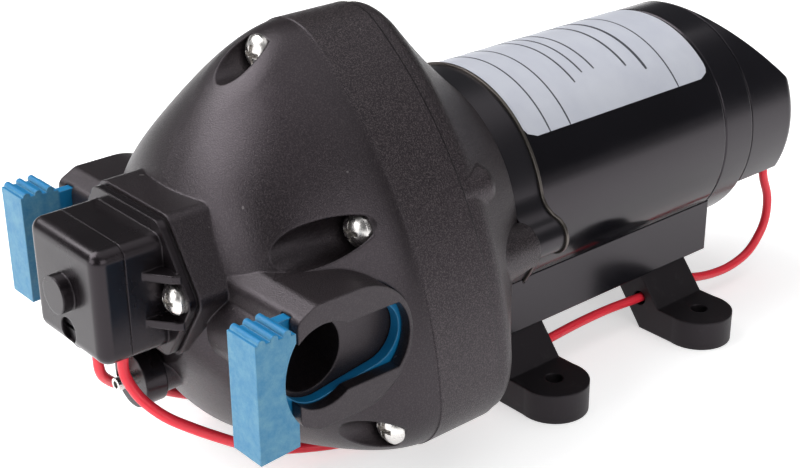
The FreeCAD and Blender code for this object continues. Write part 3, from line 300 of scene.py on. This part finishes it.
def metal(name, base, roughness, stretch=(1.0, 1.0, 1.0)):
    """Bare metal with fine streaks."""
    made = Shader(name, base, roughness, Metallic=1.0)
    streak = made.noise(700.0, 3.0, 0.6, stretch)
    made.feed(made.spread(streak, roughness - 0.06, roughness + 0.08), "Roughness")
    made.bump(streak, 0.025, 0.03, made.rounded(0.15))
    return made.material


def rubber(name, base, roughness=0.62):
    """Matt rubber with a little dust and well rounded edges."""
    made = Shader(name, base, roughness, Specular_IOR_Level=0.4, Specular_Tint=DARK_SHEEN)
    dust = made.ramp(made.noise(240.0, 5.0, 0.7), 0.56, 0.78, 0.0, 0.5)
    pale = tuple(min(1.0, part * 2.2 + 0.02) for part in base[:3]) + (1.0,)
    made.feed(made.mix(dust, base, pale), "Base Color")
    made.bump(made.noise(1100.0), 0.2, 0.08, made.rounded(0.8))
    return made.material


def clip_plastic():
    """Sky blue moulding; the upright faces of its grip are lightened by painted sheen, mottled like chalky
    wear, and its edges by a painted highlight and rubbing.
    """
    made = Shader("clip_plastic", colour(8, 113, 165), 0.46, Specular_IOR_Level=0.42)
    base = made.mix(made.spread(made.noise(90.0, 4.0)), colour(7, 110, 160), colour(12, 118, 170))
    on_grip = made.in_front_of(GRIP_REAR_Y, GRIP_FADE)
    # painted sheen: upright faces of the grip are lighter, as the light falls on them; the wear noise mottles
    # it
    upright = made.ramp(made.upward(), 0.3, 0.75, 1.0, 0.0)
    worn = made.ramp(made.noise(330.0, 10.0, 0.8), 0.36, 0.64, 0.25, 1.0)
    sheen_and_chalk = made.maths("MULTIPLY", made.maths("MULTIPLY", on_grip, upright), worn)
    base = made.mix(sheen_and_chalk, base, colour(98, 152, 178))
    # painted highlight along the edges, partly rubbing: every edge is mixed toward a paler blue
    edge_highlight_and_rubbing = made.maths("MULTIPLY", made.edges(0.5), 0.6)
    made.feed(made.mix(edge_highlight_and_rubbing, base, colour(104, 164, 200)), "Base Color")
    made.bump(made.noise(800.0), 0.16, 0.08, made.rounded(0.45))
    return made.material


def wire_red():
    """Soft red insulation, rubbed dull in places."""
    made = Shader("wire_red", colour(255, 52, 70), 0.36, Specular_IOR_Level=0.5)
    made.feed(made.ramp(made.noise(220.0, 4.0, 0.6), 0.4, 0.8, 0.30, 0.5), "Roughness")
    made.bump(made.noise(500.0, 2.0), 0.08, 0.05)
    return made.material


def label_paper():
    """Cool pale sheet, a little cloudy."""
    made = Shader("label_paper", colour(206, 209, 219), 0.34, Specular_IOR_Level=0.5)
    cloud = made.spread(made.noise(120.0, 4.0))
    made.feed(made.mix(cloud, colour(192, 195, 206), colour(200, 203, 212)), "Base Color")
    made.bump(made.noise(420.0), 0.02, 0.02)
    return made.material


def rule_ink():
    """Dark grey print."""
    made = Shader("rule_ink", colour(70, 71, 79), 0.5)
    made.feed(made.spread(made.noise(900.0, 2.0), 0.42, 0.58), "Roughness")
    return made.material


def on_can(angle, y, proud):
    """Point on the motor can, at an angle in degrees that is 90 at the top."""
    turn = math.radians(angle)
    radius = CAN_R + proud
    return Vector((radius * math.cos(turn), y, MOTOR_AXIS_Z + radius * math.sin(turn))) * MM


def to_object(name, mesh):
    """Scene object from a finished mesh, which is freed."""
    data = bpy.data.meshes.new(name)
    mesh.to_mesh(data)
    mesh.free()
    made = bpy.data.objects.new(name, data)
    bpy.context.scene.collection.objects.link(made)
    return made


def smooth_faces(mesh):
    """Turns all faces outwards and smooths them."""
    bmesh.ops.recalc_face_normals(mesh, faces=mesh.faces)
    for face in mesh.faces:
        face.smooth = True


def loop_pairs(points):
    """Each point of a closed loop with the next one."""
    return zip(points, points[1:] + points[:1])


def curved_panel(name, low_angle, high_angle, y0, y1, proud, thickness, corner_r):
    """Thin closed sheet on the motor can, with round corners."""
    degrees = 180.0 / math.pi / CAN_R
    across = (high_angle - low_angle) / degrees
    along = y1 - y0
    columns = max(2, round(along / LABEL_STEP))
    rows = max(2, round(across / LABEL_STEP))
    mesh = bmesh.new()
    rims = []
    for height, order in ((proud, (0, 3, 2, 1)), (proud - thickness, (0, 1, 2, 3))):
        grid = []
        for row in range(rows + 1):
            v = across * row / rows
            inset = 0.0
            gap = min(v, across - v)
            if gap < corner_r:
                inset = corner_r - math.sqrt(corner_r ** 2 - (corner_r - gap) ** 2)
            places = [y0 + inset + (along - 2 * inset) * column / columns for column in range(columns + 1)]
            grid.append([mesh.verts.new(on_can(low_angle + v * degrees, y, height)) for y in places])
        for lower, upper in zip(grid, grid[1:]):
            for corners in zip(lower, lower[1:], upper[1:], upper):
                mesh.faces.new([corners[index] for index in order])
        rear_side = [line[-1] for line in grid[1:]]
        front_side = [line[0] for line in grid[-2:0:-1]]
        rims.append(grid[0] + rear_side + grid[-1][-2::-1] + front_side)
    outer, inner = rims
    for (here, after), (below, below_after) in zip(loop_pairs(outer), loop_pairs(inner)):
        mesh.faces.new((here, after, below_after, below))
    smooth_faces(mesh)
    for rim in rims:
        for ends in loop_pairs(rim):
            mesh.edges.get(ends).smooth = False
    return to_object(name, mesh)


def coil(name, centre_z, y0, y1, mean_r, wire_r, turns):
    """Round wire wound along Y, between y0 and y1."""
    mesh = bmesh.new()
    steps = round(turns * COIL_STEPS)
    rings = []
    for step in range(steps + 1):
        turn = 2.0 * math.pi * turns * step / steps
        middle = y0 + wire_r + (y1 - y0 - 2.0 * wire_r) * step / steps
        ring = []
        for side in range(COIL_SIDES):
            round_wire = 2.0 * math.pi * side / COIL_SIDES
            radius = mean_r + wire_r * math.cos(round_wire)
            point = Vector((radius * math.cos(turn), middle + wire_r * math.sin(round_wire),
                            centre_z + radius * math.sin(turn)))
            ring.append(mesh.verts.new(point * MM))
        rings.append(ring)
    for first, second in zip(rings, rings[1:]):
        for (here, after), (ahead, ahead_after) in zip(loop_pairs(first), loop_pairs(second)):
            mesh.faces.new((here, after, ahead_after, ahead))
    mesh.faces.new(rings[0][::-1])
    mesh.faces.new(rings[-1])
    smooth_faces(mesh)
    return to_object(name, mesh)


def dress(obj, material):
    obj.data.materials.clear()
    obj.data.materials.append(material)


def add_area_light(name, at, towards, size, power):
    data = bpy.data.lights.new(name, "AREA")
    data.shape = "RECTANGLE"
    data.size, data.size_y = size
    data.energy = power
    lamp = bpy.data.objects.new(name, data)
    lamp.location = at
    lamp.rotation_euler = (Vector(towards) - Vector(at)).to_track_quat("-Z", "Y").to_euler()
    lamp.visible_camera = False
    bpy.context.scene.collection.objects.link(lamp)


def add_camera():
    """Camera at the photograph's place, turned by its azimuth, elevation and small roll."""
    azimuth = math.radians(CAMERA_AZIMUTH)
    elevation = math.radians(CAMERA_ELEVATION)
    roll = math.radians(CAMERA_ROLL)
    back = Vector((math.sin(azimuth) * math.cos(elevation), -math.cos(azimuth) * math.cos(elevation),
                   math.sin(elevation)))
    right = Vector((math.cos(azimuth), math.sin(azimuth), 0.0))
    up = back.cross(right)
    right_rolled = right * math.cos(roll) + up * math.sin(roll)
    up_rolled = up * math.cos(roll) - right * math.sin(roll)
    data = bpy.data.cameras.new("camera")
    data.lens = CAMERA_LENS
    data.sensor_width = SENSOR_WIDTH
    data.sensor_fit = "HORIZONTAL"
    data.clip_start = CAMERA_CLIP_START
    camera = bpy.data.objects.new("camera", data)
    turn = Matrix((right_rolled, up_rolled, back)).transposed()
    camera.matrix_world = Matrix.Translation(Vector(CAMERA_AT)) @ turn.to_4x4()
    bpy.context.scene.collection.objects.link(camera)
    bpy.context.scene.camera = camera


def add_world():
    """Studio room: pale at the horizon, dark above it, a soft glow overhead."""
    world = bpy.data.worlds.new("studio")
    world.use_nodes = True
    tree = world.node_tree
    tree.nodes.clear()
    place = tree.nodes.new("ShaderNodeTexCoord")
    split = tree.nodes.new("ShaderNodeSeparateXYZ")
    ramp = tree.nodes.new("ShaderNodeValToRGB")
    ramp.color_ramp.interpolation = "EASE"
    stops = ramp.color_ramp.elements
    for share, level in WORLD_LEVELS:
        if share == 0.0:
            stop = stops[0]
        elif share == 1.0:
            stop = stops[-1]
        else:
            stop = stops.new(share)
        stop.color = (level, level, level * WORLD_BLUE, 1.0)
    room = tree.nodes.new("ShaderNodeBackground")
    output = tree.nodes.new("ShaderNodeOutputWorld")
    tree.links.new(place.outputs["Generated"], split.inputs["Vector"])
    tree.links.new(split.outputs["Z"], ramp.inputs["Fac"])
    tree.links.new(ramp.outputs["Color"], room.inputs["Color"])
    tree.links.new(room.outputs["Background"], output.inputs["Surface"])
    bpy.context.scene.world = world


def add_floor():
    """Pale floor that looks white to the camera and in reflections, and keeps the shadow."""
    mesh = bmesh.new()
    bmesh.ops.create_grid(mesh, x_segments=2, y_segments=2, size=FLOOR_REACH)
    floor = to_object("floor", mesh)
    floor.location.z = -FLOOR_DROP
    material = bpy.data.materials.new("floor")
    material.use_nodes = True
    tree = material.node_tree
    bsdf = tree.nodes["Principled BSDF"]
    bsdf.inputs["Base Color"].default_value = FLOOR_COLOUR
    bsdf.inputs["Roughness"].default_value = FLOOR_ROUGHNESS
    bsdf.inputs["Specular IOR Level"].default_value = 0.0
    bsdf.inputs["Emission Color"].default_value = WHITE
    paths = tree.nodes.new("ShaderNodeLightPath")
    seen = paths.outputs["Is Camera Ray"]
    for kind in ("Is Glossy Ray", "Is Transmission Ray"):
        either = tree.nodes.new("ShaderNodeMath")
        either.operation = "MAXIMUM"
        tree.links.new(seen, either.inputs[0])
        tree.links.new(paths.outputs[kind], either.inputs[1])
        seen = either.outputs["Value"]
    lift = tree.nodes.new("ShaderNodeMath")
    lift.operation = "MULTIPLY"
    lift.inputs[1].default_value = FLOOR_LIFT
    tree.links.new(seen, lift.inputs[0])
    tree.links.new(lift.outputs["Value"], bsdf.inputs["Emission Strength"])
    dress(floor, material)


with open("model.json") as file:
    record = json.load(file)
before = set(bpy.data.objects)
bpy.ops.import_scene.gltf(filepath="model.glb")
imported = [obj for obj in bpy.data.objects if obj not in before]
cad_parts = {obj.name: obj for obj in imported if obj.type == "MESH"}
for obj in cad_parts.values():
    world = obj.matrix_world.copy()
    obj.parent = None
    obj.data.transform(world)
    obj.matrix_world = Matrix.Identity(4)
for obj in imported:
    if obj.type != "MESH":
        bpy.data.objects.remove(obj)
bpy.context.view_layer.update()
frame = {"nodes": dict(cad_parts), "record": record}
nodes = frame["nodes"]

add_camera()
add_world()
add_floor()
bpy.context.scene.view_settings.view_transform = "Standard"
for lamp in LAMPS:
    add_area_light(*lamp)

steel = metal("bright_steel", colour(226, 223, 220), 0.27)
ground_steel = metal("ground_steel", colour(180, 180, 182), 0.3, (1.0, 0.2, 1.0))
seal_rubber = rubber("seal_rubber", colour(34, 32, 32))

# Material of each slot in the record
LOOKS = {
    "head_plastic": head_plastic(),
    "gloss_black": coated_metal("gloss_black", colour(20, 20, 24), 0.20),
    "bell_black": coated_metal("bell_black", colour(26, 26, 29), 0.3),
    "switch_plastic": plain_plastic("switch_plastic", colour(18, 15, 17), 0.25, 1500.0, 0.2, 0.6, DARK_SHEEN),
    "foot_rubber": rubber("foot_rubber", colour(18, 16, 18), 0.5),
    "seal_rubber": seal_rubber,
    "diaphragm_rubber": seal_rubber,
    "valve_rubber": rubber("valve_rubber", colour(150, 70, 44)),
    "inner_plastic": plain_plastic("inner_plastic", colour(212, 210, 204), 0.5),
    "clip_plastic": clip_plastic(),
    "wire_red": wire_red(),
    "screw_steel": steel,
    "bearing_steel": ground_steel,
    "core_steel": metal("core_steel", colour(110, 112, 118), 0.4, (0.2, 30.0, 0.2)),
    "spring_steel": ground_steel,
    "winding_copper": metal("winding_copper", colour(184, 102, 58), 0.35, (6.0, 0.5, 6.0)),
    "bearing_brass": metal("turned_brass", colour(190, 160, 92), 0.3, (1.0, 4.0, 1.0)),
    "magnet_ferrite": plain_plastic("magnet_ferrite", colour(58, 58, 62), 0.6, 500.0, 0.2),
    "carbon": plain_plastic("carbon", colour(40, 40, 42), 0.55, 800.0, 0.2),
}
# Nodes whose finish differs from their slot's
NODE_LOOKS = {
    "motor_can": can_paint(),
    "bypass_screw": steel,
    "pressure_adjuster": metal("dark_steel", colour(70, 68, 70), 0.35),
}
for entry in frame["record"]["subparts"]:
    dress(nodes[entry["node"]], NODE_LOOKS.get(entry["node"], LOOKS[entry["material_slot"]]))

label = curved_panel("label", LABEL_LOW_ANGLE, LABEL_HIGH_ANGLE, LABEL_FRONT_Y, LABEL_REAR_Y, LABEL_PROUD,
                     LABEL_THICKNESS, LABEL_CORNER_R)
dress(label, label_paper())
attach(label, "pump")

ink = rule_ink()
for number, (y, low_angle, high_angle, width) in enumerate(RULES, 1):
    rule = curved_panel("label_rule_%d" % number, low_angle, high_angle, y - width / 2, y + width / 2,
                        RULE_PROUD, RULE_THICKNESS, width / RULE_CORNER_PARTS)
    dress(rule, ink)
    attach(rule, "pump")

for name, node, joint, centre_z, fixed_y, free_y, mean_r, wire_r, turns, travel in SPRINGS:
    spring = coil(name, centre_z, fixed_y, free_y, mean_r, wire_r, turns)
    dress(spring, ground_steel)
    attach(spring, "pump")
    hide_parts(node)
    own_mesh(spring)
